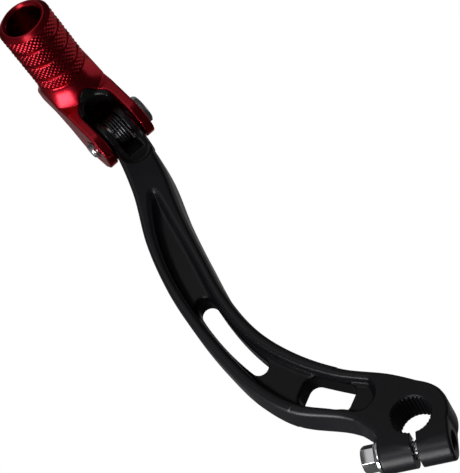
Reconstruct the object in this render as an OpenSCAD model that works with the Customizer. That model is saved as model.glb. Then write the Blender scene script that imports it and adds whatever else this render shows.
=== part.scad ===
// Motorcycle gear shift lever with a folding toe peg.
// Frame: origin on the spline axis at mid thickness of the boss.
// +X runs forward to the toe peg, +Y is outboard (the side the peg stands out on), +Z is up.

/* [Boss and clamp] */
// tooth tip diameter of the spline bore
spline_tip_d = 12.4; // [12.2:0.1:12.5]
// tooth root diameter of the spline bore
spline_root_d = 13.2; // [13:0.1:13.4]
// number of spline teeth
spline_teeth = 31; // [28:1:33]
// outside diameter of the boss round the bore
boss_d = 24.4; // [23.4:0.2:25]
// thickness of boss and arm
arm_t = 11.8; // [11:0.2:13]
// distance from bore axis to clamp bolt axis
clamp_offset = 9.3; // [9.3:0.1:10.2]
// length of the clamp ears along the bolt
clamp_span = 23.2; // [22:0.2:25]
// width of the clamp slit
slit_w = 2.0; // [1.5:0.1:2.5]
// direction of the slit from the bore, degrees round +Y from +X
slit_dir = 217.3; // [214:0.5:221]

/* [Arm] */
// forward distance from bore to folding pivot
reach = 148; // [144:1:152]
// outboard distance from boss plane to folding pivot
offset_out = 39.2; // [37:0.2:42]
// height of folding pivot above the bore
pivot_up = 1.45; // [0.7:0.05:2.2]
// width of the rails beside the pocket
rail_w = 4.0; // [3.6:0.1:4.4]
// depth of the pocket in the outer face
pocket_depth = 3.2; // [2:0.1:4]
// depth of the pocket in the inner face
back_depth = 1.6; // [1:0.1:2.2]

/* [Folding tip] */
// outside diameter of the toe peg
peg_d = 19.75; // [18.5:0.25:20]
// length of the toe peg
peg_l = 26.8; // [25:0.2:29]
// diameter of the hollow in the peg
peg_hole_d = 13.4; // [12:0.2:14]
// distance from folding pivot to peg axis
peg_ahead = 22; // [21:0.25:23]
// lean of the toe peg away from square to the pivot, degrees
peg_lean = 3.2; // [2:0.2:4]
// width over the two ears
yoke_w = 20.4; // [19.6:0.2:20.8]
// width of the slot between the ears
slot_w = 13.6; // [13.4:0.1:13.8]
// radius of the ears round the pivot
ear_r = 8.6; // [8.2:0.1:8.8]

/* [Pivot hardware] */
// shank diameter of pivot bolt and clamp bolt
bolt_d = 6; // [5.9:0.05:6]
// outside diameter of the pivot sleeve
sleeve_d = 8; // [7.8:0.05:8]
// wire diameter of the return spring
wire_d = 1.0; // [0.8:0.05:1.1]

/* [Hidden] */

half_t = arm_t / 2;
ear_end = clamp_span / 2;          // from the slit plane to either end of the clamp ears
bolt_flange_r = 5.6;               // flange under the clamp bolt head
past = 1;                          // overrun of a cut past the face it opens

fork_w = 12.0;                     // width over the two fork knuckles
knuckle_r = 6.6;
cavity_w = 6.4;                    // gap between the knuckles for the spring
cavity_r = 6.2;

cone_base_r = peg_d / 2 + 3.125;
cone_y = 11.8;                     // where the turned flare meets the yoke
base_y = 19.8;                     // where the peg starts
mouth_y = base_y + peg_l;
slot_end = 11;                     // forward end of the slot
slot_x = slot_end - slot_w / 2;    // centre of the round end of the slot

// spring: close-wound coil round the sleeve
coil_r = sleeve_d / 2 + 0.6 + wire_d / 2;
coil_top = 2.4;                    // height of the first turn, the last is as far below

// ---------- helpers ----------
function steps(from, to, count) = [for (i = [0:count]) from + (to - from) * i / count];
// closed outline: along one edge, back along the other
function outline(edge, other) = concat(edge, [for (i = [len(other) - 1:-1:0]) other[i]]);

module along_y(from, to) {
    translate([0, to, 0]) rotate([90, 0, 0]) linear_extrude(height = to - from) children();
}
module rod_z(radius, from, to, end_radius) {
    translate([0, 0, from])
        cylinder(h = to - from, r1 = radius, r2 = is_undef(end_radius) ? radius : end_radius,
                 $fn = 96);
}
module rod_y(radius, from, to, end_radius) {
    translate([0, from, 0]) rotate([-90, 0, 0]) rod_z(radius, 0, to - from, end_radius);
}
module through_arm() { along_y(-30, 80) children(); }
// local x along the slit away from the bore, local z along the bolt from head to thread end
module clamp_frame() { rotate([0, -slit_dir, 0]) mirror([0, 0, 1]) children(); }
module clamp_bolt_frame() { clamp_frame() translate([clamp_offset, 0, 0]) children(); }
module pivot_frame() { translate([reach, offset_out, pivot_up]) children(); }

// hexagon across its flats, with the corners at the far end turned off
module hex_head(across_flats, from, to) {
    corner_r = across_flats / 2 / cos(30);
    translate([0, 0, from]) rotate(30) intersection() {
        cylinder(h = to - from, r = corner_r, $fn = 6);
        cylinder(h = to - from, r1 = corner_r + to - from, r2 = across_flats / 2 * 0.98, $fn = 64);
    }
}

// ---------- side shape of the arm ----------
// evenly spaced stations forward of the bore: [height of the middle, height of the arm]
stations = [
    [1.2, 21.4], [-4.2, 20.9], [-14.1, 21.6], [-19.3, 19.2], [-21.0, 16.3], [-19.8, 16.0],
    [-16.1, 17.2], [-10.6, 16.6], [-2.7, 14.0], [1.7, 11.4], [1.9, 11.2]
];
station_pitch = (reach - 4) / 9;
function station(i) = stations[max(0, min(len(stations) - 1, i))];
// Catmull-Rom curve between start and stop
function spline(before, start, stop, after, t) =
    0.5 * (2 * start + (stop - before) * t
           + (2 * before - 5 * start + 4 * stop - after) * t * t
           + (3 * start - before - 3 * stop + after) * t * t * t);
function section(x) =
    let (along = x / station_pitch, i = floor(along))
    spline(station(i - 1), station(i), station(i + 1), station(i + 2), along - i);
function middle(x) = section(x)[0];
function half_height(x) = section(x)[1] / 2;
function bottom(x) = middle(x) - half_height(x);

module arm_side() {
    xs = steps(0, reach - 2.5, 48);
    polygon(outline([for (x = xs) [x, middle(x) + half_height(x)]], [for (x = xs) [x, bottom(x)]]));
}

// ---------- plan shape of the arm ----------
bend_start = 20;                   // the boss plane stays flat up to here
bend_power = 2.2;
bend_run = reach - bend_start;
function bend_out(x) =
    x <= bend_start ? 0 : offset_out * pow((x - bend_start) / bend_run, bend_power);
function bend_deg(x) =
    x <= bend_start ? 0
    : atan(offset_out * bend_power / bend_run * pow((x - bend_start) / bend_run, bend_power - 1));
// point at a depth square to the middle of the bent arm
function skin(x, depth) =
    [x - depth * sin(bend_deg(x)), bend_out(x) + depth * cos(bend_deg(x))];

// tall slab that follows the bend between two depths
module bent_slab(inner, outer, from, to, count) {
    xs = steps(from, to, count);
    translate([0, 0, -60]) linear_extrude(height = 100)
        polygon(outline([for (x = xs) skin(x, inner)], [for (x = xs) skin(x, outer)]));
}

// ---------- pockets and windows ----------
// pocket outline: blunt near the boss, drawn out to a rounded point near the pivot
pocket_start = 14.2;
pocket_end = 122.5;
taper_start = 96;
top_run = 6.8;                     // length over which the upper edge opens at the blunt end
bottom_run = 1.6;                  // and the lower edge
function taper(x) =
    x < taper_start ? 1
    : sqrt(max(0, 1 - pow((x - taper_start) / (pocket_end - taper_start), 2)));
function pocket_half(x) = (half_height(x) - rail_w) * taper(x);
function blunt_top(x) = -0.45 + 1.45 * sqrt(min(1, (x - pocket_start) / top_run));
function blunt_bottom(x) = 0.75 + 0.25 * min(1, (x - pocket_start) / bottom_run);

module pocket_side() {
    xs = concat([for (run = [0, 0.5, bottom_run, 3, 4.8, top_run]) pocket_start + run],
                steps(pocket_start + 9.5, pocket_end - 0.3, 38));
    polygon(outline([for (x = xs) [x, middle(x) + pocket_half(x) * blunt_top(x)]],
                    [for (x = xs) [x, middle(x) - pocket_half(x) * blunt_bottom(x)]]));
}
module pocket(inner, outer) {
    intersection() {
        bent_slab(inner, outer, 5, 140, 34);
        through_arm() pocket_side();
    }
}
module round_rect(length, width, corner_r) {
    square([length - 2 * corner_r, width], center = true);
    square([length, width - 2 * corner_r], center = true);
    for (x = [-1, 1], y = [-1, 1])
        translate([x * (length / 2 - corner_r), y * (width / 2 - corner_r)])
            circle(r = corner_r, $fn = 32);
}
// round-ended window that follows the middle of the arm
module long_window(from, to, width) {
    xs = steps(from, to, 14);
    polygon(outline([for (x = xs) [x, middle(x) + width / 2]],
                    [for (x = xs) [x, middle(x) - width / 2]]));
    for (x = [from, to]) translate([x, middle(x)]) circle(d = width, $fn = 32);
}
module arm_recesses() {
    spare = 8;                     // reach of the cutters beyond each face
    pocket(half_t - pocket_depth, half_t + spare);
    pocket(-half_t - spare, -half_t + back_depth);
    along_y(-20, 30) translate([-0.5, -0.35]) long_window(55.5, 85.2, 6.0);
    along_y(-20, 20) translate([29.5, -12.6]) rotate(-27) round_rect(18.6, 10.6, 3.4);
}

// ---------- boss ----------
// directions as [x, z]
bolt_dir = [sin(slit_dir), -cos(slit_dir)];
ear_dir = [cos(slit_dir), sin(slit_dir)];
// fillet between the head end of the clamp ears and the underside of the arm
fillet_r = 4.5;
fillet_at = let (z = bottom(10) - fillet_r)
    [(-(ear_end + fillet_r - 0.1) - bolt_dir.y * z) / bolt_dir.x, z];

module boss() {
    ear = ear_end * bolt_dir;
    ear_out = clamp_offset * ear_dir;
    web_x = 13;                    // forward edge of the web that carries the fillet
    along_y(-half_t, half_t) difference() {
        union() {
            circle(d = boss_d, $fn = 96);
            polygon([ear, ear + ear_out, -ear + ear_out, -ear]);
            polygon([[0, -2], [web_x, -2], [web_x, bottom(web_x) + 0.02],
                     fillet_at + [0.6, fillet_r], fillet_at,
                     fillet_at + (fillet_r + 2) * bolt_dir]);
        }
        translate(fillet_at) circle(r = fillet_r, $fn = 96);
    }
    // rounded outer edge of the ears
    clamp_bolt_frame() rod_z(half_t - 0.04, -ear_end + 0.03, ear_end - 0.03);
}

module spline_cut() {
    tip_r = spline_tip_d / 2;
    root_r = spline_root_d / 2;
    tooth_deg = 360 / spline_teeth;
    // corners of one groove: [fraction of the tooth pitch, radius]
    groove = [[-0.30, tip_r - 0.2], [-0.16, root_r], [0.16, root_r], [0.30, tip_r - 0.2]];
    chamfer = 1.25;
    lap = 0.5;
    rod_y(tip_r, -half_t - past, half_t + past);
    along_y(-half_t - past, half_t + past)
        polygon([for (i = [0:spline_teeth - 1], corner = groove)
            let (a = (i + corner[0]) * tooth_deg) corner[1] * [cos(a), sin(a)]]);
    rod_y(tip_r - lap, half_t - chamfer, half_t + lap, tip_r + chamfer);
    rod_y(tip_r + chamfer, -half_t - lap, -half_t + chamfer, tip_r - lap);
}
module clamp_cut() {
    chamfer = 1.1;
    lap = 0.5;
    clamp_frame() translate([spline_tip_d / 2 - 2, -half_t - past, -slit_w / 2])
        cube([30, arm_t + 2 * past, slit_w]);
    clamp_bolt_frame() {
        rod_z(bolt_d / 2 + 0.25, -ear_end - past, 0);
        rod_z(bolt_flange_r + 0.15, -ear_end - 9, -ear_end);
        rod_z(bolt_d / 2 + 0.05, -0.1, ear_end + past);
        rod_z(bolt_d / 2 - lap, ear_end - chamfer, ear_end + lap, bolt_d / 2 + chamfer);
    }
}

// ---------- fork end of the arm, round the folding pivot ----------
// cut into the outboard side of the neck, round at its rear end
module neck_cut() {
    round_x = -9.1;
    radius = 6.3;
    from = 3;
    to = 12;
    pivot_frame() rotate([0, 0, bend_deg(reach)]) {
        translate([round_x, 0, 0]) rod_y(radius, from, to);
        translate([round_x, from, -radius]) cube([-round_x - 0.5, to - from, 2 * radius]);
    }
}
module arm_body() {
    shoulder_r = ear_r + 1.0;      // clears the ears of the folding tip
    difference() {
        intersection() {
            bent_slab(-half_t, half_t, 0, reach - 1, 34);
            through_arm() arm_side();
        }
        pivot_frame() {
            rod_z(shoulder_r, fork_w / 2, 30);
            rod_z(shoulder_r, -30, -fork_w / 2);
        }
        neck_cut();
    }
}
module neck() {
    difference() {
        intersection() {
            bent_slab(-half_t, half_t, reach - 16, reach, 10);
            pivot_frame() translate([-20, -40, -fork_w / 2]) cube([24, 80, fork_w]);
            through_arm() translate([reach - 8, -12]) square([14, 26]);
        }
        neck_cut();
    }
}
module knuckles() {
    chamfer = 1;
    flat = fork_w / 2 - chamfer;
    pivot_frame() {
        rod_z(knuckle_r, -flat, flat);
        rod_z(knuckle_r, flat, fork_w / 2, knuckle_r - chamfer);
        rod_z(knuckle_r - chamfer, -fork_w / 2, -flat, knuckle_r);
    }
}
// sleeve bore, spring cavity, and a slot running back from it for the spring leg
module fork_cut() {
    pivot_frame() {
        rod_z(sleeve_d / 2 + 0.05, -20, 20);
        rod_z(cavity_r, -cavity_w / 2, cavity_w / 2);
        translate([0, -20, -cavity_w / 2]) cube([20, 40, cavity_w]);
        translate([-10.5, -4.5, -3.1]) cube([10.5, 24, 6.2]);
    }
}

module lever_arm() color("#2b2a2d") difference() {
    union() {
        boss();
        arm_body();
        neck();
        knuckles();
    }
    spline_cut();
    clamp_cut();
    arm_recesses();
    fork_cut();
}

module clamp_bolt() color("#d9dadd") clamp_bolt_frame() {
    point = 0.8;                   // chamfer at the thread end
    point_z = ear_end - 2.6;
    rim_z = ear_end + 1.0;         // from the middle to the head side of the flange
    rod_z(bolt_d / 2, -ear_end - 0.2, point_z);
    rod_z(bolt_d / 2, point_z, point_z + point, bolt_d / 2 - point);
    rod_z(bolt_flange_r, -rim_z, -ear_end);
    rod_z(4.3, -rim_z - 0.9, -rim_z, bolt_flange_r);
    mirror([0, 0, 1]) hex_head(8, rim_z, rim_z + 5);
}

// ---------- folding tip, in the pivot frame ----------
// rear edge of the yoke: a tangent to the ear from the rear of the flare
rear_top = [peg_ahead - cone_base_r, cone_y];
tangent_deg = atan2(rear_top.y, rear_top.x) + acos(ear_r / norm(rear_top));

module yoke_plan() {
    circle(r = ear_r, $fn = 96);
    polygon([
        [0, 0], (ear_r - 0.04) * [cos(tangent_deg), sin(tangent_deg)], rear_top,
        [peg_ahead + cone_base_r, cone_y], [peg_ahead + cone_base_r, 9.4],
        [peg_ahead - 0.5, 5.2], [16.5, 0], [13.4, -6], [11, -9.4], [-1.5, -9.4], [-1, -5]
    ]);
}
module peg_axis() {
    translate([peg_ahead, base_y, 0]) rotate([-peg_lean, 0, 0])
        translate([0, -base_y, 0]) children();
}
// turned flare that grows from the peg into the yoke
function flare_r(y) =
    peg_d / 2 + (cone_base_r - peg_d / 2) * pow((base_y - y) / (base_y - cone_y), 1.8);
module flare() {
    root_y = cone_y - 1.5;
    rotate([-90, 0, 0]) rotate_extrude($fn = 96)
        polygon(concat([[0, root_y], [cone_base_r, root_y]],
                       [for (y = steps(cone_y, base_y, 8)) [flare_r(y), y]], [[0, base_y]]));
}
module yoke_envelope() {
    intersection() {
        translate([0, 0, -yoke_w / 2]) linear_extrude(height = yoke_w) yoke_plan();
        union() {
            translate([-20, -20, -20]) cube([20 + peg_ahead, 60, 40]);
            peg_axis() rod_y(cone_base_r, -20, 40);
        }
    }
    intersection() {
        peg_axis() flare();
        translate([0, 0, -yoke_w / 2]) cube([60, 60, yoke_w]);
    }
}

// peg: core, four grip bands with a turned groove between each, bevelled mouth
module peg() {
    groove_w = 1.1;
    groove_deep = 0.65;
    bevel_l = 1.6;
    groove_pitch = (peg_l - 12.7) / 2;
    grooves = [for (i = [0:2]) base_y + 5.3 + i * groove_pitch];
    starts = concat([base_y + 0.2], [for (y = grooves) y + groove_w / 2]);
    ends = concat([for (y = grooves) y - groove_w / 2], [mouth_y - bevel_l]);
    peg_axis() {
        rod_y(peg_d / 2 - groove_deep, base_y - 0.5, mouth_y - 1);
        for (i = [0:3]) rod_y(peg_d / 2, starts[i], ends[i]);
        rod_y(peg_d / 2, mouth_y - bevel_l, mouth_y, peg_d / 2 - 1.7);
    }
}
// blind hollow with a chamfered mouth and a tapered bottom
module peg_hollow() {
    hole_r = peg_hole_d / 2;
    floor_y = mouth_y - 24;
    peg_axis() {
        rod_y(hole_r, floor_y, mouth_y + past);
        rod_y(hole_r - 0.5, mouth_y - 1, mouth_y + 0.5, hole_r + 1);
        rod_y(1, floor_y - 3.4, floor_y, hole_r);
    }
}
module yoke_slot() {
    from = -7;
    translate([slot_x, 0, 0]) rod_y(slot_w / 2, from, 40);
    translate([-30, from, -slot_w / 2]) cube([30 + slot_x, 40 - from, slot_w]);
    // the slot is open inboard behind a face that stops on the arm
    translate([0, 0, -slot_w / 2]) linear_extrude(height = slot_w)
        polygon([[-30, -6.9], [0.73, -6.9], [-3.06, -9.5], [-30, -30]]);
}

module folding_tip() color("#b3122e") pivot_frame() difference() {
    union() {
        yoke_envelope();
        peg();
    }
    yoke_slot();
    rod_z(bolt_d / 2 + 0.1, 0, 20);
    rod_z(bolt_d / 2 + 0.03, -20, 0);
    peg_hollow();
    // seat for the forward spring leg
    translate([0, -coil_r, -coil_top]) rotate([0, 90, 0])
        cylinder(h = 13, r = wire_d / 2 + 0.15, $fn = 32);
}

// ---------- pivot hardware ----------
module pivot_bolt() color("#c4c5c8") pivot_frame() {
    point = 0.7;                   // chamfer at the lower end
    point_z = -yoke_w / 2 - 0.9;
    flange_top = yoke_w / 2 + 0.4;
    rod_z(bolt_d / 2, point_z, yoke_w / 2 + 0.01);
    rod_z(bolt_d / 2 - point, point_z - point, point_z, bolt_d / 2);
    rod_z(4.9, yoke_w / 2, flange_top);
    hex_head(10, flange_top, flange_top + 1.8);
}

module pivot_sleeve() color("#9c9da0") pivot_frame() difference() {
    rod_z(sleeve_d / 2, -slot_w / 2 + 0.04, slot_w / 2 - 0.04);
    rod_z(bolt_d / 2 + 0.05, -20, 20);
}

// washers fill the gap between fork and ears, and stay clear of the round end of the slot
washer_gap = 0.05;
washer_r = slot_x + sqrt(pow(slot_w / 2, 2) - pow(slot_w / 2 - washer_gap, 2)) - 0.07;
washer_in = fork_w / 2 + washer_gap;
washer_out = slot_w / 2 - washer_gap;
module thrust_washer(from, to) {
    difference() {
        rod_z(washer_r, from, to);
        rod_z(sleeve_d / 2 + 0.08, from - past, to + past);
    }
}
module upper_thrust_washer() color("#141416") pivot_frame() thrust_washer(washer_in, washer_out);
module lower_thrust_washer() color("#141416") pivot_frame() thrust_washer(-washer_out, -washer_in);

// torsion spring: rear leg in the slot of the arm, forward leg in the yoke
coil_start = 125;                  // angle where the rear leg leaves the coil
coil_sweep = 4 * 360 + coil_start + 90;
function coil_point(t) =
    let (a = coil_start - coil_sweep * t)
    [coil_r * cos(a), coil_r * sin(a), coil_top - 2 * coil_top * t];
// point on the rear leg, which runs off at a tangent
function rear_leg(along) =
    coil_point(0) - along * [cos(coil_start - 90), sin(coil_start - 90), 0];
spring_path = concat([rear_leg(7.2), rear_leg(2)], [for (t = steps(0, 1, 96)) coil_point(t)],
                     [for (x = [3, 12.6]) [x, -coil_r, -coil_top]]);

function unit(v) = v / norm(v);
// round wire swept along a path
module wire(path, radius) {
    sides = 10;
    last = len(path) - 1;
    points = [for (i = [0:last])
        let (dir = unit(path[min(i + 1, last)] - path[max(i - 1, 0)]),
             side = unit(cross(dir, [0, 0, 1])),
             up = cross(side, dir))
        for (k = [0:sides - 1])
            path[i] + radius * (cos(360 * k / sides) * side + sin(360 * k / sides) * up)];
    start_cap = [for (k = [sides - 1:-1:0]) k];
    end_cap = [for (k = [0:sides - 1]) last * sides + k];
    walls = [for (i = [0:last - 1], k = [0:sides - 1])
        let (here = i * sides, ahead = here + sides, next = (k + 1) % sides)
        [here + k, here + next, ahead + next, ahead + k]];
    polyhedron(points = points, faces = concat([start_cap], [end_cap], walls));
}
module return_spring() color("#1b1b1d") pivot_frame() wire(spring_path, wire_d / 2);

// moulded rubber guard on the forward end of the slot
module bump_stop() color("#101011") pivot_frame() intersection() {
    translate([slot_x, 0, 0]) difference() {
        rod_y(slot_w / 2 - 0.01, 6.8, 17);
        rod_y(slot_w / 2 - 1.6, 0, 40);
        translate([-29, 0, -20]) cube([30, 40, 40]);
    }
    yoke_envelope();
}

lever_arm();
clamp_bolt();
folding_tip();
pivot_bolt();
pivot_sleeve();
return_spring();
upper_thrust_washer();
lower_thrust_washer();
bump_stop();
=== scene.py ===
"""A lever arm with a folding tip: a pierced black arm, clamped on a splined shaft, carries
a red knurled peg on a sprung pivot.

World frame: the shaft runs along Y through the origin, the arm reaches along +X and bends
outboard towards +Y, and Z is up. Sizes are in mm and become metres as meshes are made.
"""
import bpy, bmesh, math
import numpy as np
import openvdb
from mathutils import Matrix, Vector


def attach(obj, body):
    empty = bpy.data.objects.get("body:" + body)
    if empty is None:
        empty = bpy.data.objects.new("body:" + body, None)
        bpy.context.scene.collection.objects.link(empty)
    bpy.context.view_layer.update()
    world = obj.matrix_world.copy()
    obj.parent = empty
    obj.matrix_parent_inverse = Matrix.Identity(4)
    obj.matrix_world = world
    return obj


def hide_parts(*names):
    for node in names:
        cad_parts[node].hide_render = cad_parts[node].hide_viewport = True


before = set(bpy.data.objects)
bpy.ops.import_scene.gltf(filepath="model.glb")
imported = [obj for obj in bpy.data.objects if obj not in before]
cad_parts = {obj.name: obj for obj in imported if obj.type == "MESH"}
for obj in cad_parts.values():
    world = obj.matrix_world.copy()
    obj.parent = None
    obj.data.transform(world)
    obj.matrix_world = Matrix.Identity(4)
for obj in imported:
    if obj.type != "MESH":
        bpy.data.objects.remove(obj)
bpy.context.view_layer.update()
MM = 0.001

# ------------------------------------------------------------------ dimensions, mm
# arm
HALF_THICK = 5.9
REACH, OUTBOARD, RISE = 148.0, 39.2, 1.45      # the pivot's place in the world
BEND_START, BEND_POWER = 20.0, 2.2
RAIL = 4.0                                     # width left along both sides of the pocket
POCKET_DEPTH, BACK_DEPTH = 3.2, 1.6            # outboard and inboard pockets
STATION_STEP = (REACH - 4) / 9
# side view at every STATION_STEP from x = 0: height of the centreline, depth of the arm
STATIONS = np.array([
    [1.2, 21.4], [-4.2, 20.9], [-14.1, 21.6], [-19.3, 19.2], [-21.0, 16.3], [-19.8, 16.0],
    [-16.1, 17.2], [-10.6, 16.6], [-2.7, 14.0], [1.7, 11.4], [1.9, 11.2]])

# clamp: directions are (x, z), the slit running down and away from the arm
SLIT_ANGLE = math.radians(217.3)
SLIT_DIR = np.array([math.cos(SLIT_ANGLE), math.sin(SLIT_ANGLE)])
BOLT_DIR = np.array([math.sin(SLIT_ANGLE), -math.cos(SLIT_ANGLE)])    # from head to thread end
BOLT_OFFSET = 9.3                              # clamp bolt from the shaft, along the slit
CLAMP_HALF = 11.6                              # half width of the clamp block along its bolt

# pivot and yoke
EAR_R = 8.6
YOKE_HALF = 10.2
SLOT_HALF, SLOT_END = 6.8, 11.0                # half height of the yoke slot and its far end
SLOT_CENTRE = SLOT_END - SLOT_HALF             # centre of the slot's round end
KNUCKLE_HALF = 6.0
SLEEVE_R = 4.0
WIRE_R = 0.5
SPRING_R = SLEEVE_R + 0.6 + WIRE_R             # to the middle of the wire
SPRING_HALF = 2.4

# peg, in the pivot frame
PEG_LEAN = math.radians(3.2)                   # away from square to the pivot axis
PEG_R, PEG_LENGTH, PEG_BORE_R = 9.875, 26.8, 6.7
PEG_X, PEG_BASE = 22.0, 19.8
MOUTH = PEG_BASE + PEG_LENGTH
FLARE_START, FLARE_R, FLARE_POWER = 11.8, 13.0, 1.8
# the yoke's outboard face leaves the ear circle as a tangent and ends at the shoulder
SHOULDER = np.array([PEG_X - FLARE_R, FLARE_START])
TANGENT_ANGLE = (math.atan2(SHOULDER[1], SHOULDER[0])
                 + math.acos(EAR_R / math.hypot(*SHOULDER)))
TANGENT_DIR = np.array([math.cos(TANGENT_ANGLE), math.sin(TANGENT_ANGLE)])


# ------------------------------------------------------------------ curves and frames
def arm_station(x):
    """centreline height and depth of the arm at x, by a Catmull-Rom curve"""
    place = np.asarray(x, float) / STATION_STEP
    index = np.floor(place).astype(int)
    t = (place - index)[..., None]
    before, start, end, after = (
        STATIONS[np.clip(index + k, 0, len(STATIONS) - 1)] for k in (-1, 0, 1, 2))
    return 0.5 * (2 * start + (end - before) * t
                  + (2 * before - 5 * start + 4 * end - after) * t ** 2
                  + (3 * start - before - 3 * end + after) * t ** 3)


def arm_edge(x, side):
    """height of the arm's top (side = 1) or underside (side = -1)"""
    station = arm_station(x)
    return station[..., 0] + side * station[..., 1] / 2


def arm_bend(x):
    """y of the arm's middle surface"""
    past = np.maximum(np.asarray(x, float) - BEND_START, 0)
    return OUTBOARD * (past / (REACH - BEND_START)) ** BEND_POWER


def from_pivot(points):
    return np.asarray(points, float) + np.array([REACH, OUTBOARD, RISE])


def to_peg(x, y, z):
    """pivot frame -> peg frame: y runs along the peg's axis, x and z from it"""
    c, s = math.cos(PEG_LEAN), math.sin(PEG_LEAN)
    y = y - PEG_BASE
    return x - PEG_X, c * y - s * z + PEG_BASE, s * y + c * z


def clamp_place(points):
    """local x along the slit, y along world Y, z along the clamp bolt -> world"""
    points = np.asarray(points, float)
    s, y, t = points[:, 0] + BOLT_OFFSET, points[:, 1], points[:, 2]
    return np.stack([s * SLIT_DIR[0] + t * BOLT_DIR[0], y,
                     s * SLIT_DIR[1] + t * BOLT_DIR[1]], 1)


def peg_place(points):
    """local z along the leaning peg axis -> world"""
    points = np.asarray(points, float)
    c, s = math.cos(PEG_LEAN), math.sin(PEG_LEAN)
    y, z = points[:, 2] - PEG_BASE, points[:, 1]
    return from_pivot(np.stack(
        [points[:, 0] + PEG_X, c * y + s * z + PEG_BASE, -s * y + c * z], 1))


def flare_radius(y):
    share = np.clip((PEG_BASE - y) / (PEG_BASE - FLARE_START), 0, 1.0)
    return PEG_R + (FLARE_R - PEG_R) * share ** FLARE_POWER


# ------------------------------------------------------------------ distance functions
# all are negative inside
def intersect(a, b, radius):
    """intersection with a rounded edge"""
    return (np.minimum(np.maximum(a, b), -radius)
            + np.sqrt(np.maximum(a + radius, 0) ** 2 + np.maximum(b + radius, 0) ** 2))


def unite(a, b, radius):
    """union with a small fillet"""
    return -intersect(-a, -b, radius)


def subtract(a, b, radius):
    """a without b, with a rounded edge"""
    return intersect(a, -b, radius)


def segment_distance2(px, pz, start, end):
    """squared distance to a line segment"""
    (x0, z0), (x1, z1) = start, end
    run, rise = x1 - x0, z1 - z0
    t = np.clip(((px - x0) * run + (pz - z0) * rise) / (run * run + rise * rise), 0, 1)
    return (px - x0 - t * run) ** 2 + (pz - z0 - t * rise) ** 2


def line_distance(px, pz, points):
    """unsigned distance to an open polyline"""
    nearest = np.full(px.shape, 1e9)
    for start, end in zip(points[:-1], points[1:]):
        nearest = np.minimum(nearest, segment_distance2(px, pz, start, end))
    return np.sqrt(nearest)


def polygon_distance(px, pz, points):
    """signed distance to a closed polygon"""
    nearest = np.full(px.shape, 1e9)
    inside = np.zeros(px.shape, bool)
    for start, end in zip(points, np.roll(points, -1, axis=0)):
        nearest = np.minimum(nearest, segment_distance2(px, pz, start, end))
        (x0, z0), (x1, z1) = start, end
        if z0 != z1:
            inside ^= ((z0 > pz) != (z1 > pz)) & (px < (x1 - x0) * (pz - z0) / (z1 - z0) + x0)
    return np.sqrt(nearest) * np.where(inside, -1, 1)


def band(x, upper, lower):
    """closed outline between two curves over x"""
    return np.concatenate([np.stack([x, upper], 1), np.stack([x, lower], 1)[::-1]])


# ------------------------------------------------------------------ mesh helpers
def link_object(name, mesh):
    ob = bpy.data.objects.new(name, mesh)
    bpy.context.scene.collection.objects.link(ob)
    return ob


def new_mesh(name, verts, faces):
    mesh = bpy.data.meshes.new(name)
    verts = np.asarray(verts, float) * MM
    mesh.from_pydata([tuple(p) for p in verts], [], [tuple(int(i) for i in f) for f in faces])
    mesh.update()
    return link_object(name, mesh)


def face_outwards(ob):
    bm = bmesh.new()
    bm.from_mesh(ob.data)
    volume = bm.calc_volume(signed=True)
    bm.free()
    if volume < 0:
        ob.data.flip_normals()
    return ob


def sample_grid(grid, points):
    """trilinear samples at points given in grid steps"""
    points = np.clip(points, 0, np.array(grid.shape) - 1.001)
    cell = points.astype(int)
    part = points - cell
    total = 0
    for corner in np.ndindex(2, 2, 2):
        i, j, k = (cell + corner).T
        share = np.where(corner, part, 1 - part)
        total = total + share[:, 0] * share[:, 1] * share[:, 2] * grid[i, j, k]
    return total


def field_mesh(name, field, low, high, voxel, chunk=48):
    """Meshes field(x, y, z) < 0 on a regular grid, then slides the vertices onto the surface.

    The field is called on slabs of `chunk` planes along x.
    """
    low = np.asarray(low, float)
    counts = [int(math.ceil((high[k] - low[k]) / voxel)) + 1 for k in range(3)]
    x, y, z = (low[k] + voxel * np.arange(counts[k]) for k in range(3))
    values = np.empty(counts, np.float32)
    for i in range(0, counts[0], chunk):
        values[i:i + chunk] = field(x[i:i + chunk], y, z)
    np.clip(values, -3 * voxel, 3 * voxel, out=values)
    grid = openvdb.FloatGrid(3 * voxel)
    grid.copyFromArray(values, tolerance=0.0)
    points, tris, quads = grid.convertToPolygons(isovalue=0.0, adaptivity=0.0)
    points = np.asarray(points, float)          # in grid steps
    for _ in range(2):
        slope = np.stack([sample_grid(values, points + step) - sample_grid(values, points - step)
                          for step in np.eye(3) * 0.5], 1) / voxel
        steepness = np.maximum((slope ** 2).sum(1), 0.25)
        move = -(sample_grid(values, points) / voxel / steepness)[:, None] * slope
        points = points + np.clip(move, -0.3, 0.3)
    points = points * voxel + low

    tris = np.asarray(tris, int).reshape(-1, 3)
    quads = np.asarray(quads, int).reshape(-1, 4)
    mesh = bpy.data.meshes.new(name)
    mesh.vertices.add(len(points))
    mesh.vertices.foreach_set("co", (points * MM).astype(np.float32).ravel())
    corners = np.concatenate([quads.ravel(), tris.ravel()])
    mesh.loops.add(len(corners))
    mesh.loops.foreach_set("vertex_index", corners.astype(np.int32))
    mesh.polygons.add(len(tris) + len(quads))
    starts = np.concatenate([np.arange(len(quads)) * 4,
                             len(quads) * 4 + np.arange(len(tris)) * 3])
    mesh.polygons.foreach_set("loop_start", starts.astype(np.int32))
    mesh.update(calc_edges=True)
    mesh.validate()
    return face_outwards(link_object(name, mesh))


def move_to_pivot(ob):
    """carries a mesh made in the pivot frame to its place in the world"""
    coords = np.empty(len(ob.data.vertices) * 3, np.float32)
    ob.data.vertices.foreach_get("co", coords)
    coords = from_pivot(coords.reshape(-1, 3) / MM) * MM
    ob.data.vertices.foreach_set("co", coords.astype(np.float32).ravel())
    ob.data.update()


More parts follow.
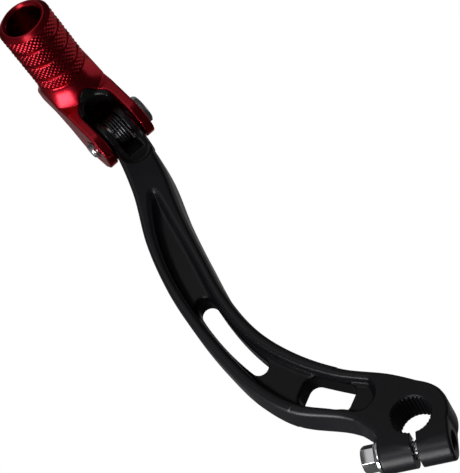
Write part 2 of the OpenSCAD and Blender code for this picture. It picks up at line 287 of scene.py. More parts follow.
def skin(name, loops, closed=False):
    """Skins equal-length loops of points; the ends are capped unless the last joins the first."""
    count = len(loops[0])
    verts = np.concatenate(loops)
    faces = []
    for k in range(len(loops) if closed else len(loops) - 1):
        a, b = k * count, (k + 1) % len(loops) * count
        faces += [(a + i, a + (i + 1) % count, b + (i + 1) % count, b + i)
                  for i in range(count)]
    if not closed:
        for base, turn in ((0, -1), ((len(loops) - 1) * count, 1)):
            middle = len(verts)
            verts = np.vstack([verts, verts[base:base + count].mean(0)])
            for i in range(count):
                edge = (base + i, base + (i + 1) % count)[::turn]
                faces.append((*edge, middle))
    return face_outwards(new_mesh(name, verts, faces))


def circle(angles, radius, z):
    """loop about local z; radius is a number or one value per angle"""
    return np.column_stack([radius * np.cos(angles), radius * np.sin(angles),
                            np.full(len(angles), z)])


def even_angles(count):
    return np.arange(count) * 2 * math.pi / count


def lathe(name, profile, place, segments=96, closed=False):
    """solid of revolution about local z from (radius, z) points"""
    angles = even_angles(segments)
    return skin(name, [place(circle(angles, r, z)) for r, z in profile], closed)


def boolean(ob, cutter, operation="DIFFERENCE"):
    """applies a boolean and removes the cutter"""
    modifier = ob.modifiers.new("boolean", "BOOLEAN")
    modifier.operation = operation
    modifier.object = cutter
    modifier.solver = "MANIFOLD"
    bpy.context.view_layer.update()
    depsgraph = bpy.context.evaluated_depsgraph_get()
    mesh = bpy.data.meshes.new_from_object(ob.evaluated_get(depsgraph))
    ob.modifiers.clear()
    old = ob.data
    ob.data = mesh
    bpy.data.meshes.remove(old)
    bpy.data.objects.remove(cutter)


def smooth(ob, degrees):
    mesh = ob.data
    mesh.polygons.foreach_set("use_smooth", np.ones(len(mesh.polygons), bool))
    mesh.set_sharp_from_angle(angle=math.radians(degrees))
    mesh.update()
    return ob


# ================================================================== LEVER ARM
WEB_FILLET = 4.5
WINDOW_X, WINDOW_HALF = (55.5, 85.2), 3.0      # long curved window
WINDOW_SHIFT = (-0.5, -0.35)                   # from the arm's centreline, in x and z
OBLONG_CENTRE = (29.5, -12.6)                  # rounded oblong window near the clamp
OBLONG_TILT = math.radians(27)
OBLONG_HALF, OBLONG_CORNER = (9.3, 5.3), 3.4


def web_outline():
    """web between the arm's underside and the clamp block, and the centre of its fillet"""
    centre_z = float(arm_edge(10, -1)) - WEB_FILLET
    centre = np.array([(-(CLAMP_HALF + WEB_FILLET - 0.1) - BOLT_DIR[1] * centre_z)
                       / BOLT_DIR[0], centre_z])
    outline = np.array([[0, -2], [13, -2], [13, float(arm_edge(13, -1)) + 0.02],
                        [centre[0] + 0.6, centre[1] + WEB_FILLET],
                        centre, centre + (WEB_FILLET + 2) * BOLT_DIR])
    return outline, centre


def pocket_outline():
    """side view of the pocket: blunt near the shaft, elliptical towards the pivot"""
    start, lead_in = 14.2, 6.8
    taper_start, taper_end = 96, 122.5
    even_end, nose = 116, 6.4
    x = np.concatenate([
        start + lead_in * (1 - np.cos(np.linspace(0, math.pi / 2, 20)[:-1])),
        np.linspace(start + lead_in, even_end, 110),
        even_end + nose * np.sin(np.linspace(0, math.pi / 2, 16)[1:])])
    ellipse = np.maximum(0, 1 - ((x - taper_start) / (taper_end - taper_start)) ** 2)
    taper = np.where(x < taper_start, 1, np.sqrt(ellipse))
    station = arm_station(x)
    half = (station[:, 1] / 2 - RAIL) * taper
    above = half * (-0.45 + 1.45 * np.sqrt(np.minimum(1, (x - start) / lead_in)))
    below = half * (0.75 + 0.25 * np.minimum(1, (x - start) / 1.6))
    return band(x, station[:, 0] + above, station[:, 0] - below)


def oblong_window(x, z):
    c, s = math.cos(OBLONG_TILT), math.sin(OBLONG_TILT)
    x, z = x - OBLONG_CENTRE[0], z - OBLONG_CENTRE[1]
    past_length = np.abs(x * c - z * s) - (OBLONG_HALF[0] - OBLONG_CORNER)
    past_width = np.abs(x * s + z * c) - (OBLONG_HALF[1] - OBLONG_CORNER)
    return (np.minimum(np.maximum(past_length, past_width), 0)
            + np.hypot(np.maximum(past_length, 0), np.maximum(past_width, 0))
            - OBLONG_CORNER)


def add_pivot_end(solid, across, x, y, z):
    """neck, knuckle and hollows round the pivot; across is measured from the middle surface"""
    from_x, from_y, from_z = x - REACH, y - OUTBOARD, z - RISE
    height = np.abs(from_z)
    radial = np.hypot(from_x, from_y)
    # room for the yoke's ears above and below
    ears = intersect(radial - (EAR_R + 1.0), KNUCKLE_HALF - height, 1.0)
    solid = subtract(solid, ears, 1.1)
    # neck along the arm's final direction
    angle = math.atan(OUTBOARD * BEND_POWER / (REACH - BEND_START))
    along = from_x * math.cos(angle) + from_y * math.sin(angle)
    neck = intersect(np.abs(across) - HALF_THICK, height - KNUCKLE_HALF, 1.4)
    neck = np.maximum(np.maximum(neck, along), 139.5 - x)
    solid = unite(solid, neck, 1.0)
    # flat with a round end on the outboard side of the neck
    flat_half, flat_centre, flat_level = 6.3, -9.1, 3.0
    outwards = -from_x * math.sin(angle) + from_y * math.cos(angle)
    flat = np.minimum(
        np.hypot(along - flat_centre, from_z) - flat_half,
        np.maximum(height - flat_half, np.maximum(flat_centre - along, along + 0.5)))
    flat = intersect(flat, flat_level - outwards, 1.6)
    solid = subtract(solid, flat, 0.7)
    knuckle = intersect(radial - 6.6, height - KNUCKLE_HALF, 1.2)
    solid = unite(solid, knuckle, 0.8)
    # spring room: round, open towards +X, with a slot running outboard
    room = np.maximum(radial - 6.2, height - 3.2)
    room = np.minimum(room, np.maximum(height - 3.2, -from_x))
    slot = np.maximum(np.maximum(height - 3.1, np.abs(from_x + 5) - 5.5),
                      np.maximum(-4.5 - from_y, from_y - 19.5))
    solid = subtract(solid, np.minimum(room, slot), 0.35)
    return np.maximum(solid, SLEEVE_R + 0.05 - radial)


def clamp_block(x, y, z):
    along = x * SLIT_DIR[0] + z * SLIT_DIR[1]
    beside = x * BOLT_DIR[0] + z * BOLT_DIR[1]
    section = np.hypot(np.maximum(along - BOLT_OFFSET, 0), y) - HALF_THICK
    section = np.maximum(section, -along)
    return intersect(section, np.abs(beside) - CLAMP_HALF, 0.9)


def arm_field():
    arm_x = np.linspace(0, 145.5, 300)
    outline = band(arm_x, arm_edge(arm_x, 1), arm_edge(arm_x, -1))
    web, web_centre = web_outline()
    pocket_edge = pocket_outline()
    window_x = np.linspace(*WINDOW_X, 40)
    window_line = np.stack([window_x, arm_station(window_x)[:, 0]], 1)
    bend_x = np.linspace(-30, 152, 500)
    bend = np.stack([bend_x, arm_bend(bend_x)], 1)

    def field(x, y, z):
        # side view
        side_x, side_z = np.meshgrid(x, z, indexing="ij")
        arm = polygon_distance(side_x, side_z, outline)
        hub = np.hypot(side_x, side_z) - 12.2
        # slabs past the web blend the arm with itself, which keeps the same small fillet
        extra = arm
        if x[0] < 22:
            fillet = np.hypot(side_x - web_centre[0], side_z - web_centre[1])
            extra = np.maximum(polygon_distance(side_x, side_z, web), WEB_FILLET - fillet)
        side = unite(unite(arm, hub, 0.6), extra, 0.3)
        pocket = polygon_distance(side_x, side_z, pocket_edge)[:, None, :]
        curved = line_distance(side_x - WINDOW_SHIFT[0], side_z - WINDOW_SHIFT[1],
                               window_line) - WINDOW_HALF
        windows = np.minimum(curved, oblong_window(side_x, side_z))
        # top view: signed distance from the middle surface, positive outboard
        top_x, top_y = np.meshgrid(x, y, indexing="ij")
        across = line_distance(top_x, top_y, bend) * np.sign(top_y - arm_bend(top_x))
        across = across[:, :, None]
        edge = np.interp(x, [6, 30], [1.1, 2.3])[:, None, None]
        solid = intersect(side[:, None, :], np.abs(across) - HALF_THICK, edge)

        x, y, z = x[:, None, None], y[None, :, None], z[None, None, :]
        if x[-1, 0, 0] > 120:
            solid = add_pivot_end(solid, across, x, y, z)
        if x[0, 0, 0] < 24:
            solid = np.minimum(solid, clamp_block(x, y, z))
        outer = intersect(pocket, (HALF_THICK - POCKET_DEPTH) - across, 2.0)
        solid = subtract(solid, outer, 1.6)
        inner = intersect(pocket, across + (HALF_THICK - BACK_DEPTH), 1.0)
        solid = subtract(solid, inner, 1.4)
        return subtract(solid, windows[:, None, :], 0.8)
    return field


def spline_cutter():
    """splined bore along Y with a coned entry at both faces"""
    teeth, per_tooth = 31, 16
    tip_r, groove_depth, cone_r, overshoot = 6.2, 0.4, 6.95, 1.2
    count = teeth * per_tooth
    angles = even_angles(count)
    phase = (np.arange(count) % per_tooth) / per_tooth
    groove = np.abs(2 * phase - 1)              # 1 at a groove centre, 0 at a tooth tip
    section = tip_r + groove_depth * np.clip((groove - 0.22) / 0.5, 0, 1)
    levels = np.concatenate([
        [-HALF_THICK - overshoot], -HALF_THICK + np.linspace(0, 1.1, 8), [0.0],
        HALF_THICK - np.linspace(1.1, 0, 8), [HALF_THICK + overshoot]])
    loops = []
    for y in levels:
        inset = HALF_THICK - abs(y) if abs(y) <= HALF_THICK else -overshoot
        loop = circle(angles, np.maximum(section, cone_r - inset), y)
        loops.append(loop[:, [0, 2, 1]])
    return skin("cut_spline", loops)


def slit_cutter():
    """clamp slit, wider at both faces of the arm"""
    # section: along the bolt, along Y
    section = [(-1.25, -7.0), (1.25, -7.0), (1.25, -6.05), (1.0, -5.6), (1.0, 5.6),
               (1.25, 6.05), (1.25, 7.0), (-1.25, 7.0), (-1.25, 6.05), (-1.0, 5.6),
               (-1.0, -5.6), (-1.25, -6.05)]
    return skin("cut_slit", [clamp_place([(s - BOLT_OFFSET, y, t) for t, y in section])
                             for s in (4.8, 36.0)])


def make_arm():
    arm = field_mesh("lever_arm_body", arm_field(), (-18.5, -7.0, -31.0), (157.0, 50.0, 16.5),
                     voxel=0.27)
    boolean(arm, spline_cutter())
    boolean(arm, slit_cutter())
    # head side of the bolt hole, with its seat
    boolean(arm, lathe("cut_bolt_a", [
        (5.75, -CLAMP_HALF - 12), (5.75, -CLAMP_HALF - 0.06), (3.6, -CLAMP_HALF - 0.06),
        (3.25, -CLAMP_HALF + 0.35), (3.25, 0.0)], clamp_place))
    # thread side, with its countersink
    boolean(arm, lathe("cut_bolt_b", [
        (3.05, -0.5), (3.05, CLAMP_HALF - 0.75), (3.9, CLAMP_HALF + 0.1),
        (3.9, CLAMP_HALF + 3)], clamp_place))
    return smooth(arm, 35)


# ================================================================== FOLDING TIP
def tip_field():
    """yoke and flare, in the pivot frame"""
    # top views (x, y): the yoke, and a corner cleared between the ears on the inboard side
    plan = np.array([
        [0, 0], EAR_R * TANGENT_DIR, SHOULDER, [PEG_X + FLARE_R, FLARE_START],
        [PEG_X + FLARE_R, 9.4], [21.5, 5.2], [16.5, 0], [13.4, -6], [11, -9.4],
        [-1.5, -9.4], [-1, -5]])
    inboard = np.array([[-30, -6.9], [0.73, -6.9], [-3.06, -9.5], [-30, -30]])

    def field(x, y, z):
        top_x, top_y = np.meshgrid(x, y, indexing="ij")
        yoke = np.minimum(polygon_distance(top_x, top_y, plan), np.hypot(top_x, top_y) - EAR_R)
        corner = polygon_distance(top_x, top_y, inboard)[:, :, None]
        x, y, z = x[:, None, None], y[None, :, None], z[None, None, :]
        peg_x, peg_y, peg_z = to_peg(x, y, z)
        from_axis = np.hypot(peg_x, peg_z)
        far_side = np.where(x > PEG_X, from_axis - FLARE_R, -50.0)
        solid = intersect(yoke[:, :, None], far_side, 0.5)
        # the turned flare between yoke and peg
        length = PEG_BASE - FLARE_START
        slope = ((FLARE_R - PEG_R) * FLARE_POWER / length
                 * np.clip((PEG_BASE - peg_y) / length, 0, 1.2) ** (FLARE_POWER - 1))
        flare = (from_axis - flare_radius(peg_y)) / np.sqrt(1 + slope ** 2)
        flare = np.maximum(np.maximum(flare, peg_y - PEG_BASE), FLARE_START - 1.3 - peg_y)
        solid = np.minimum(solid, flare)
        solid = intersect(solid, np.abs(z) - YOKE_HALF, 0.45)
        # slot between the ears
        slot = np.minimum(np.hypot(x - SLOT_CENTRE, z) - SLOT_HALF,
                          np.maximum(np.abs(z) - SLOT_HALF, x - SLOT_CENTRE))
        slot = intersect(slot, -7.0 - y, 0.3)
        solid = subtract(solid, slot, 0.4)
        solid = subtract(solid, np.maximum(corner, np.abs(z) - SLOT_HALF), 0.4)
        # pivot bolt hole
        solid = subtract(solid, np.hypot(x, y) - 3.07, 0.25)
        # groove for the straight leg of the spring
        groove = np.hypot(y + SPRING_R, z + SPRING_HALF) - (WIRE_R + 0.15)
        return np.maximum(solid, -np.maximum(groove, np.abs(x - 6.5) - 6.5))
    return field


def grip_profile(knurl_pitch, per_knurl):
    """(radius, y, knurled) rows up the outside of the peg, over the mouth and down the bore"""
    groove_width, groove_depth = 1.1, 0.65
    floor_r = PEG_R - groove_depth
    middles = [PEG_BASE + 5.3 + i * (PEG_LENGTH - 12.7) / 2 for i in range(3)]
    starts = [PEG_BASE + 0.2] + [m + groove_width / 2 for m in middles]
    stops = [m - groove_width / 2 for m in middles] + [MOUTH - 1.6]
    step = knurl_pitch / per_knurl
    rows = [(8.2, PEG_BASE - 3.4, False), (9.1, PEG_BASE - 3.0, False),
            (9.1, PEG_BASE + 0.35, False)]
    for i, (start, stop) in enumerate(zip(starts, stops)):
        rows.append((floor_r + 0.02, start - 0.14 if i else start - 0.2, False))
        rows.append((floor_r + 0.22, start - 0.02, False))
        for y in np.linspace(start, stop, int(round((stop - start) / step)) + 1):
            # band ends are rounded off, except at the mouth
            to_end = min(y - start, stop - y)
            rounded = i < 3 or y < start + 1
            drop = 0.48 * max(0.0, 1 - to_end / 0.5) ** 1.3 if rounded else 0.0
            rows.append((PEG_R - drop, y, True))
        if i < 3:
            rows += [(floor_r + 0.22, stop + 0.02, False), (floor_r + 0.02, stop + 0.14, False),
                     (floor_r, stop + groove_width / 2, False)]
    # bevel: inset from the peg's radius, depth below the mouth
    rows += [(PEG_R - inset, MOUTH - depth, False) for inset, depth in (
        (0.03, 1.59), (0.16, 1.48), (0.9, 0.80), (1.52, 0.22), (1.68, 0.10), (1.9, 0.02),
        (2.05, 0.0))]
    # blind bore: excess over its radius, depth below the mouth
    wall = [(0.0, 2 + 21.6 * k / 23) for k in range(24)]
    rows += [(PEG_BORE_R + excess, MOUTH - depth, False) for excess, depth in (
        (0.98, 0.0), (0.86, 0.08), (0.1, 0.9), (0.0, 1.05), *wall, (-0.15, 23.9), (-0.5, 24.1))]
    rows += [(1.2, MOUTH - 27.3, False), (0.6, MOUTH - 27.5, False)]
    return rows


def make_grip(knurls=34, per_knurl=8):
    """peg: four diamond-knurled bands with turned grooves between, bevelled mouth, blind bore"""
    angles = even_angles(knurls * per_knurl)
    pitch = 2 * math.pi * PEG_R / knurls        # lengthwise pitch equals the pitch round the peg
    turn = angles / (2 * math.pi) * knurls
    loops = []
    for radius, y, knurled in grip_profile(pitch, per_knurl):
        if knurled:
            climb = (y - PEG_BASE) / pitch
            # 1 in the middle of a groove, for both hands of the knurl
            right, left = (np.clip(1 - np.abs(phase % 1 - 0.5) * 2 / 0.66, 0, 1)
                           for phase in (turn + climb, turn - climb))
            radius = np.minimum(radius, PEG_R - 0.25 * np.maximum(right, left))
        loops.append(peg_place(circle(angles, radius, y)))
    return skin("grip", loops)


def make_tip():
    tip = field_mesh("folding_tip_body", tip_field(), (-10.0, -11.0, -11.2), (36.5, 21.4, 11.2),
                     voxel=0.31)
    move_to_pivot(tip)
    grip = make_grip()
    drill_r = PEG_BORE_R - 0.02
    drill = lathe("cut_drill", [(0.62, MOUTH - 27.5), (drill_r, MOUTH - 24.05),
                                (drill_r, MOUTH + 2)], peg_place, segments=128)
    boolean(tip, drill)
    boolean(tip, grip, "UNION")
    return smooth(tip, 32)


# ================================================================== FASTENERS
def hex_outline(flats, corner_r=0.35, per_side=24):
    """rounded hexagon with corners at 30 degrees + k * 60"""
    inner = (flats / 2 - corner_r) / math.cos(math.pi / 6)
    points = []
    for k in range(6):
        angle = math.radians(30 + 60 * k)
        following = math.radians(30 + 60 * (k + 1))
        corner = inner * np.array([math.cos(angle), math.sin(angle)])
        next_corner = inner * np.array([math.cos(following), math.sin(following)])
        for j in range(7):
            a = angle - math.pi / 6 + math.pi / 3 * j / 6
            points.append(corner + corner_r * np.array([math.cos(a), math.sin(a)]))
        normal = angle + math.pi / 6
        offset = corner_r * np.array([math.cos(normal), math.sin(normal)])
        start, end = corner + offset, next_corner + offset
        points += [start + (end - start) * j / per_side for j in range(1, per_side)]
    return np.array(points)


def hex_head(outline, flats, foot, top, dish=0.12, chamfer=0.32):
    """loops of a hex head from the middle of its dished top down to its foot"""
    radius = np.hypot(outline[:, 0], outline[:, 1])
    outwards = outline / radius[:, None]
    top_r = flats / 2 * 0.97
    drop = np.maximum(radius - top_r, 0) * math.tan(math.radians(30))
    rim = np.minimum(radius - 0.2, top_r)[:, None]
    level = np.full(len(outline), top)
    loops = [np.column_stack([outwards * top_r * share, level - dish * sunk])
             for share, sunk in ((0.25, 1), (0.5, 1), (0.74, 1), (0.80, 0.7), (0.86, 0))]
    loops += [np.column_stack([outwards * rim, level]),
              np.column_stack([outline - outwards * 0.16, level - drop - 0.02]),
              np.column_stack([outline - outwards * 0.05, level - drop - chamfer * 0.25]),
              np.column_stack([outline, level - drop - chamfer * 0.6]),
              np.column_stack([outline, np.full(len(outline), foot)])]
    return loops


def thread_loops(angles, radius, start, end, chamfer, pitch=1.0, depth=0.58):
    """helical thread on local z that fades in at its start and is chamfered at its end"""
    loops = []
    for z in np.linspace(start, end, int(abs(end - start) / pitch * 10) + 1):
        phase = (z / pitch - angles / (2 * math.pi)) % 1
        root = np.clip((np.abs(phase - 0.5) * 2 - 0.12) / 0.76, 0, 1)    # 0 at a crest
        fade = min(1.0, abs(z - start) / (pitch * 1.2))
        limit = radius - max(0.0, chamfer - abs(end - z))
        loops.append(circle(angles, np.minimum(radius - depth * root * fade, limit), z))
    return loops


def make_bolt(name, place, flats, seat, head_side, foot, top, profile, thread, turn=0):
    """Hex bolt along local z. Its head lies on head_side (+1 or -1) of the seat.

    foot, top and the profile's (radius, height) rows are heights above the seat, while
    thread holds named values in local z; turn is in degrees.
    """
    outline = hex_outline(flats)
    angles = np.arctan2(outline[:, 1], outline[:, 0])
    loops = hex_head(outline, flats, foot, top)
    loops += [circle(angles, radius, height) for radius, height in profile]
    for loop in loops:
        loop[:, 2] = seat + head_side * loop[:, 2]
    loops += thread_loops(angles, **thread)
    c, s = math.cos(math.radians(turn)), math.sin(math.radians(turn))
    spun = [np.column_stack([p[:, 0] * c - p[:, 1] * s, p[:, 0] * s + p[:, 1] * c, p[:, 2]])
            for p in loops]
    return smooth(skin(name, [place(loop) for loop in spun]), 30)


def make_clamp_bolt():
    """flanged screw through the clamp block"""
    return make_bolt(
        "clamp_bolt_hex", clamp_place, flats=8.0, seat=-CLAMP_HALF, head_side=-1,
        foot=1.75, top=6.0, turn=12,
        profile=[(4.75, 1.55), (5.1, 1.25), (5.5, 0.95), (5.6, 0.75), (5.6, 0.12), (5.5, 0.0),
                 (3.0, 0.0), (2.97, -3.0)],
        thread=dict(radius=2.97, start=-CLAMP_HALF + 3.2, end=CLAMP_HALF - 1.8, chamfer=0.9))


def make_pivot_bolt():
    """low head on the upper ear, thread end proud of the lower ear"""
    return make_bolt(
        "pivot_bolt_hex", from_pivot, flats=10.0, seat=YOKE_HALF, head_side=1,
        foot=0.4, top=2.2,
        profile=[(4.9, 0.4), (4.9, 0.02), (3.4, 0.0), (2.98, 0.0), (2.98, -4.5 - YOKE_HALF)],
        thread=dict(radius=2.98, start=-4.7, end=-YOKE_HALF - 1.6, chamfer=0.7))


# ================================================================== SLEEVE, WASHERS, SPRING, GUARD
def make_ring(name, inner, outer, low, high, chamfer):
    """chamfered ring about the pivot axis"""
    profile = [(inner, low + chamfer), (inner + chamfer, low), (outer - chamfer, low),
               (outer, low + chamfer), (outer, high - chamfer), (outer - chamfer, high),
               (inner + chamfer, high), (inner, high - chamfer)]
    return smooth(lathe(name, profile, from_pivot, closed=True), 50)


def make_washer(name, low, high):
    return make_ring(name, inner=4.08, outer=4.93, low=low, high=high, chamfer=0.12)


def tube(name, path, radius, segments=20):
    """round wire along a path in the pivot frame, with its ends drawn in"""
    path = np.asarray(path, float)
    tangents = np.gradient(path, axis=0)
    tangents /= np.linalg.norm(tangents, axis=1)[:, None]
    angles = even_angles(segments)[:, None]
    loops = []
    for point, tangent in zip(path, tangents):
        side = np.cross(tangent, [0, 0, 1.0])
        side /= np.linalg.norm(side)
        up = np.cross(side, tangent)
        loops.append(point + radius * (np.cos(angles) * side + np.sin(angles) * up))
    first, last = (end.mean(0) + (end - end.mean(0)) * 0.75 for end in (loops[0], loops[-1]))
    return skin(name, [from_pivot(loop) for loop in [first] + loops + [last]])


def make_spring():
    """coil round the sleeve, with one leg at its top and one along X at its bottom"""
    start = math.radians(125)
    turns = 4 + 125 / 360 + 90 / 360
    coil = []
    for t in np.linspace(0, 1, 420):
        angle = start - 2 * math.pi * turns * t
        coil.append(np.array([SPRING_R * math.cos(angle), SPRING_R * math.sin(angle),
                              SPRING_HALF - 2 * SPRING_HALF * t]))
    leaving = math.radians(125 - 90)
    leg_dir = np.array([math.cos(leaving), math.sin(leaving), 0])
    top_leg = [coil[0] - leg_dir * k for k in np.linspace(7.2, 0.4, 14)]
    bottom_leg = [np.array([k, -SPRING_R, -SPRING_HALF]) for k in np.linspace(0.4, 12.6, 20)]
    return smooth(tube("return_spring_coil", top_leg + coil + bottom_leg, WIRE_R), 60)


def guard_field(x, y, z):
    """lining of the slot's round end, kept within the yoke face and the flare"""
    x, y, z = x[:, None, None], y[None, :, None], z[None, None, :]
    peg_x, peg_y, peg_z = to_peg(x, y, z)
    flare = (np.hypot(peg_x, peg_z) - flare_radius(peg_y)) * 0.85
    face = x * TANGENT_DIR[0] + y * TANGENT_DIR[1] - EAR_R
    wall = np.abs(np.hypot(x - SLOT_CENTRE, z) - (SLOT_HALF - 0.92)) - 0.9
    solid = intersect(wall, np.minimum(face, flare) + 0.05, 0.5)
    solid = intersect(solid, 6.85 - y, 0.4)
    solid = intersect(solid, y - 17.6, 0.4)
    return intersect(solid, (SLOT_CENTRE + 1.05) - x, 0.5)


def make_guard():
    guard = field_mesh("bump_stop_guard", guard_field, (3.0, 5.0, -8.0), (13.0, 19.0, 8.0),
                       voxel=0.12)
    move_to_pivot(guard)
    return smooth(guard, 45)


arm = make_arm()
tip = make_tip()
clamp_bolt = make_clamp_bolt()
pivot_bolt = make_pivot_bolt()
sleeve = make_ring("pivot_sleeve_tube", inner=3.05, outer=SLEEVE_R,
                   low=-SLOT_HALF + 0.04, high=SLOT_HALF - 0.04, chamfer=0.15)
upper_washer = make_washer("upper_thrust_washer_ring", KNUCKLE_HALF + 0.05, SLOT_HALF - 0.05)
lower_washer = make_washer("lower_thrust_washer_ring", -SLOT_HALF + 0.05, -KNUCKLE_HALF - 0.05)
spring = make_spring()
guard = make_guard()


# ================================================================== MATERIALS
def node(tree, kind, inputs=None, **settings):
    made = tree.nodes.new(kind)
    for key, value in settings.items():
        setattr(made, key, value)
    for key, value in (inputs or {}).items():
        made.inputs[key].default_value = value
    return made


def new_material(name):
    material = bpy.data.materials.new(name)
    material.use_nodes = True
    tree = material.node_tree
    tree.nodes.clear()
    output = node(tree, "ShaderNodeOutputMaterial")
    shader = node(tree, "ShaderNodeBsdfPrincipled")
    tree.links.new(shader.outputs[0], output.inputs[0])
    return material, tree, shader


def ramp(tree, source, low, high, low_colour=(0, 0, 0), high_colour=(1, 1, 1)):
    made = node(tree, "ShaderNodeValToRGB")
    stops = ((low, low_colour), (high, high_colour))
    for element, (position, colour) in zip(made.color_ramp.elements, stops):
        element.position = position
        element.color = (*colour, 1)
    tree.links.new(source, made.inputs[0])
    return made.outputs[0]


def rub_edges(tree, coords, colour, worn, amount):
    """mixes the worn colour into the edges, broken up by noise"""
    link = tree.links.new
    geometry = node(tree, "ShaderNodeNewGeometry")
    edges = ramp(tree, geometry.outputs["Pointiness"], 0.53, 0.60)
    noise = node(tree, "ShaderNodeTexNoise", {"Scale": 900.0, "Detail": 5.0, "Roughness": 0.7})
    link(coords, noise.inputs["Vector"])
    patches = ramp(tree, noise.outputs[0], 0.48, 0.62)
    both = node(tree, "ShaderNodeMath", operation="MULTIPLY")
    link(edges, both.inputs[0])
    link(patches, both.inputs[1])
    scaled = node(tree, "ShaderNodeMath", {1: amount}, operation="MULTIPLY")
    link(both.outputs[0], scaled.inputs[0])
    mix = node(tree, "ShaderNodeMix", {7: (*worn, 1)}, data_type="RGBA")
    link(scaled.outputs[0], mix.inputs[0])
    link(colour, mix.inputs[6])
    return mix.outputs[2]


def finish_material(name, base, metallic, rough, rough_spread, grain, bump, tone, blotch,
                    worn=None, worn_amount=0.0, specular=0.5, tint=(1, 1, 1),
                    coat=0.0, coat_rough=0.1):
    """Finish with fine grain, faint blotching in tone and gloss, and rubbed edges.

    grain and blotch are noise scales, bump is the grain's depth in mm, and tone is the
    share by which the base colour varies.
    """
    material, tree, shader = new_material(name)
    link = tree.links.new
    coords = node(tree, "ShaderNodeTexCoord").outputs["Object"]
    mapping = node(tree, "ShaderNodeMapping")
    link(coords, mapping.inputs[0])
    fine = node(tree, "ShaderNodeTexNoise", {"Scale": grain, "Detail": 3.0, "Roughness": 0.6})
    broad = node(tree, "ShaderNodeTexNoise", {"Scale": blotch, "Detail": 4.0, "Roughness": 0.55})
    link(mapping.outputs[0], fine.inputs["Vector"])
    link(coords, broad.inputs["Vector"])
    darker = tuple(c * (1 - tone) for c in base)
    lighter = tuple(min(1, c * (1 + tone)) for c in base)
    colour = ramp(tree, broad.outputs[0], 0.3, 0.7, darker, lighter)
    if worn is not None:
        colour = rub_edges(tree, coords, colour, worn, worn_amount)
    link(colour, shader.inputs["Base Color"])
    gloss = node(tree, "ShaderNodeMapRange", {
        "From Min": 0.3, "From Max": 0.7,
        "To Min": rough - rough_spread, "To Max": rough + rough_spread})
    link(broad.outputs[0], gloss.inputs[0])
    link(gloss.outputs[0], shader.inputs["Roughness"])
    for key, value in (("Metallic", metallic), ("Specular IOR Level", specular),
                       ("Specular Tint", (*tint, 1)), ("Coat Weight", coat),
                       ("Coat Roughness", coat_rough)):
        shader.inputs[key].default_value = value
    relief = node(tree, "ShaderNodeBump", {"Strength": 1.0, "Distance": bump * MM})
    link(fine.outputs[0], relief.inputs["Height"])
    link(relief.outputs[0], shader.inputs["Normal"])
    return material


FINISHES = {
    "black_anodised": dict(
        base=(0.0068, 0.0060, 0.0082), metallic=0.0, rough=0.34, rough_spread=0.04,
        grain=4200.0, bump=0.012, tone=0.18, blotch=45,
        worn=(0.03, 0.029, 0.032), worn_amount=0.25, specular=0.32),
    "red_anodised": dict(
        base=(0.42, 0.004, 0.016), metallic=1.0, rough=0.28, rough_spread=0.04,
        grain=5200.0, bump=0.008, tone=0.10, blotch=70,
        worn=(0.8, 0.12, 0.14), worn_amount=0.35, tint=(1.0, 0.25, 0.32),
        coat=0.35, coat_rough=0.2),
    "bright_plate": dict(
        base=(0.74, 0.745, 0.76), metallic=1.0, rough=0.16, rough_spread=0.05,
        grain=3000.0, bump=0.006, tone=0.06, blotch=300,
        worn=(0.9, 0.9, 0.9), worn_amount=0.4),
    "stainless": dict(
        base=(0.52, 0.52, 0.53), metallic=1.0, rough=0.27, rough_spread=0.06,
        grain=2600.0, bump=0.01, tone=0.10, blotch=260,
        worn=(0.75, 0.75, 0.75), worn_amount=0.4),
    "steel": dict(
        base=(0.38, 0.385, 0.40), metallic=1.0, rough=0.3, rough_spread=0.06,
        grain=2600.0, bump=0.01, tone=0.12, blotch=260),
    "black_steel": dict(
        base=(0.07, 0.07, 0.076), metallic=0.85, rough=0.20, rough_spread=0.06,
        grain=3000.0, bump=0.01, tone=0.2, blotch=300,
        worn=(0.12, 0.12, 0.125), worn_amount=0.4, specular=0.6),
    "black_plastic": dict(
        base=(0.012, 0.012, 0.013), metallic=0.0, rough=0.42, rough_spread=0.05,
        grain=2200.0, bump=0.02, tone=0.15, blotch=200),
    "black_rubber": dict(
        base=(0.004, 0.004, 0.0045), metallic=0.0, rough=0.16, rough_spread=0.04,
        grain=1500.0, bump=0.02, tone=0.2, blotch=150, specular=0.3),
}
materials = {name: finish_material(name, **finish) for name, finish in FINISHES.items()}


def paint(ob, material):
    ob.data.materials.clear()
    ob.data.materials.append(material)


# object, material slot, body it rides on, CAD node it replaces
for ob, slot, body, replaced in (
        (arm, "black_anodised", "arm", "lever_arm"),
        (clamp_bolt, "bright_plate", "arm", "clamp_bolt"),
        (spring, "black_steel", "arm", "return_spring"),
        (tip, "red_anodised", "tip", "folding_tip"),
        (pivot_bolt, "stainless", "tip", "pivot_bolt"),
        (sleeve, "steel", "tip", "pivot_sleeve"),
        (upper_washer, "black_plastic", "tip", "upper_thrust_washer"),
        (lower_washer, "black_plastic", "tip", "lower_thrust_washer"),
        (guard, "black_rubber", "tip", "bump_stop")):
    paint(ob, materials[slot])
    ob.data.polygons.foreach_set("material_index", np.zeros(len(ob.data.polygons), np.int32))
    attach(ob, body)
    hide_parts(replaced)
for cad_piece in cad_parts.values():
    paint(cad_piece, materials["black_anodised"])

# ================================================================== STUDIO, metres
CAMERA_RIGHT = Vector((-0.56561, -0.37065, 0.73668))
CAMERA_UP = Vector((0.48260, 0.57560, 0.66014))
CAMERA_BACK = Vector((-0.66871, 0.72891, -0.14669))
CAMERA_PLACE = Vector((-0.34049, 0.49220, -0.09228))
LIGHT_TARGET = Vector((0.085, 0.02, -0.008))
scene = bpy.context.scene


def pose(right, up, back, place):
    """matrix from three axes and a place"""
    return Matrix((*zip(right, up, back, place), (0, 0, 0, 1)))


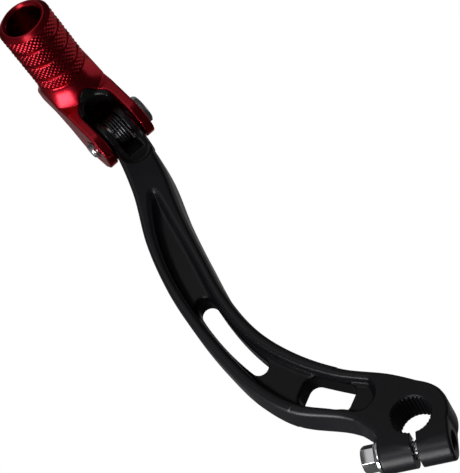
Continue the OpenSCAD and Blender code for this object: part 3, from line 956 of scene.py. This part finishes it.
def make_camera():
    camera = bpy.data.objects.new("camera", bpy.data.cameras.new("camera"))
    camera.data.sensor_width = 36.0
    camera.data.lens = 147.044397
    camera.data.clip_start = 0.02
    camera.data.clip_end = 30.0
    camera.matrix_world = pose(CAMERA_RIGHT, CAMERA_UP, CAMERA_BACK, CAMERA_PLACE)
    scene.collection.objects.link(camera)
    scene.camera = camera
    scene.view_settings.view_transform = "Standard"
    scene.view_settings.look = "None"


def make_world():
    """white to the camera, dim to the object but for a paler patch behind it"""
    world = bpy.data.worlds.new("studio")
    scene.world = world
    world.use_nodes = True
    tree = world.node_tree
    link = tree.links.new
    tree.nodes.clear()
    output = node(tree, "ShaderNodeOutputWorld")
    rays = node(tree, "ShaderNodeLightPath")
    surround = node(tree, "ShaderNodeBackground", {0: (1, 1, 1, 1)})
    backdrop = node(tree, "ShaderNodeBackground", {0: (1, 1, 1, 1), 1: 1.0})
    # only grazing reflections pick up the patch
    geometry = node(tree, "ShaderNodeNewGeometry")
    facing = node(tree, "ShaderNodeVectorMath", {1: tuple(CAMERA_BACK)},
                  operation="DOT_PRODUCT")
    link(geometry.outputs["Incoming"], facing.inputs[0])
    strength = node(tree, "ShaderNodeMapRange", {
        "From Min": 0.72, "From Max": 0.98, "To Min": 0.035, "To Max": 0.32},
        interpolation_type="SMOOTHSTEP")
    link(facing.outputs["Value"], strength.inputs[0])
    link(strength.outputs[0], surround.inputs[1])
    mix = node(tree, "ShaderNodeMixShader")
    link(rays.outputs["Is Camera Ray"], mix.inputs[0])
    link(surround.outputs[0], mix.inputs[1])
    link(backdrop.outputs[0], mix.inputs[2])
    link(mix.outputs[0], output.inputs[0])


def make_floor():
    half, level = 4000, -850                    # mm
    floor = new_mesh("floor", [(-half, -half, level), (half, -half, level),
                               (half, half, level), (-half, half, level)], [(0, 1, 2, 3)])
    material, tree, shader = new_material("pale_floor")
    noise = node(tree, "ShaderNodeTexNoise", {"Scale": 40.0, "Detail": 4.0})
    colour = ramp(tree, noise.outputs[0], 0.3, 0.7, (0.86, 0.86, 0.86), (0.90, 0.90, 0.90))
    tree.links.new(colour, shader.inputs["Base Color"])
    shader.inputs["Roughness"].default_value = 0.7
    # it glows for the camera only, so it doesn't lighten the black arm from below
    rays = node(tree, "ShaderNodeLightPath")
    shader.inputs["Emission Color"].default_value = (0.80, 0.80, 0.80, 1)
    tree.links.new(rays.outputs["Is Camera Ray"], shader.inputs["Emission Strength"])
    floor.data.materials.append(material)


def softbox(name, direction, distance, size, power, along=(1, 0, 0)):
    """Area light seen from LIGHT_TARGET along direction; along is its first side.

    Both are in camera axes (right, up, towards the camera).
    """
    back, side = (CAMERA_RIGHT * v[0] + CAMERA_UP * v[1] + CAMERA_BACK * v[2]
                  for v in (direction, along))
    back = back.normalized()
    side = (side - back * side.dot(back)).normalized()
    light = bpy.data.lights.new(name, "AREA")
    light.shape = "RECTANGLE"
    light.size, light.size_y = size
    light.energy = power
    ob = bpy.data.objects.new(name, light)
    ob.visible_camera = False
    ob.matrix_world = pose(side, back.cross(side), back, LIGHT_TARGET + back * distance)
    scene.collection.objects.link(ob)


make_camera()
make_world()
make_floor()
softbox("low_left", direction=(-0.42, -0.79, 0.44), distance=0.75, size=(0.70, 0.40),
        power=7.5, along=(0.93, 0.15, 0.55))
softbox("front_left", direction=(-0.54, 0.48, 0.70), distance=0.9, size=(0.55, 0.55), power=0.55)
softbox("front_low", direction=(-0.448, -0.07, 0.89), distance=0.75, size=(0.26, 0.26), power=0.7)
softbox("right_back", direction=(0.80, 0.54, -0.27), distance=0.9, size=(0.9, 0.9), power=1.0)
softbox("top_left", direction=(-0.54, 0.84, 0.06), distance=0.9, size=(1.0, 1.0), power=0.70)
